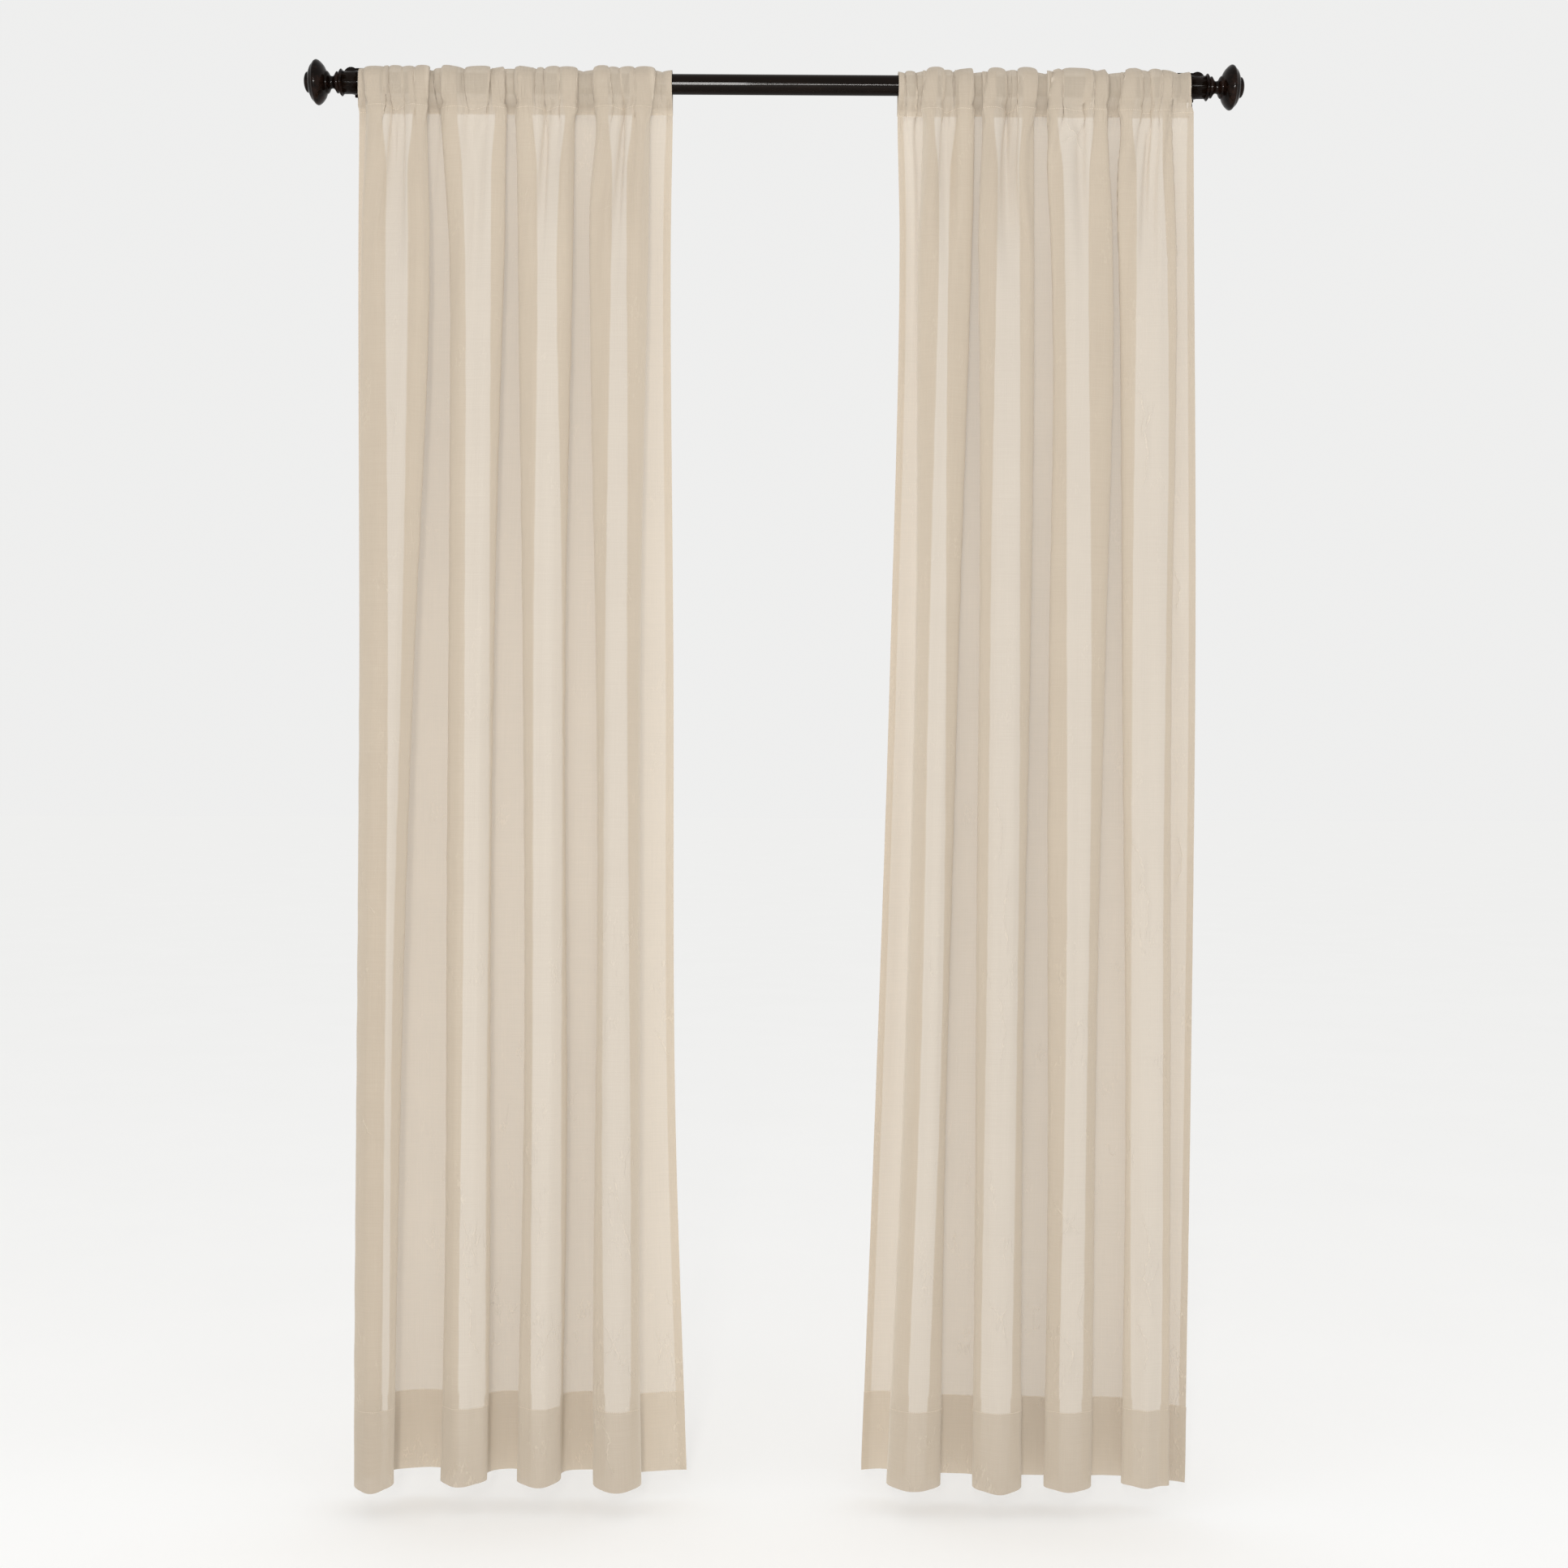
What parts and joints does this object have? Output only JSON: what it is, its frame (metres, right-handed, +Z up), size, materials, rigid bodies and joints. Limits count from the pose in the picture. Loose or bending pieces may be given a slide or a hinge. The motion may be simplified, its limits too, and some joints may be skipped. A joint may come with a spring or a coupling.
{
  "type": "pair of sheer voile rod pocket curtain panels on a rod with finials",
  "caption": "Sheer voile curtain panels gathered by their rod pockets on a round rod with turned finials, held by wall brackets.",
  "frame": {"origin": "on the wall plane, midway along the rod, at the height of the rod's axis", "axes": "+X to the right along the rod as seen from the room, +Y from the room into the wall, +Z up"},
  "size_m": [1.4236, 0.158, 2.168],
  "materials": {
    "voile": "sheer beige polyester voile with a fine plain weave",
    "rod_finish": "glossy dark bronze",
    "finial_finish": "dark bronze, lightly rubbed on the raised rings",
    "bracket_finish": "satin dark bronze"
  },
  "bodies": {
    "root": {"curtain_left": "voile", "curtain_right": "voile", "rod": "rod_finish", "finial_left": "finial_finish", "finial_right": "finial_finish", "bracket_left": "bracket_finish", "bracket_right": "bracket_finish"}
  },
  "joints": []
}
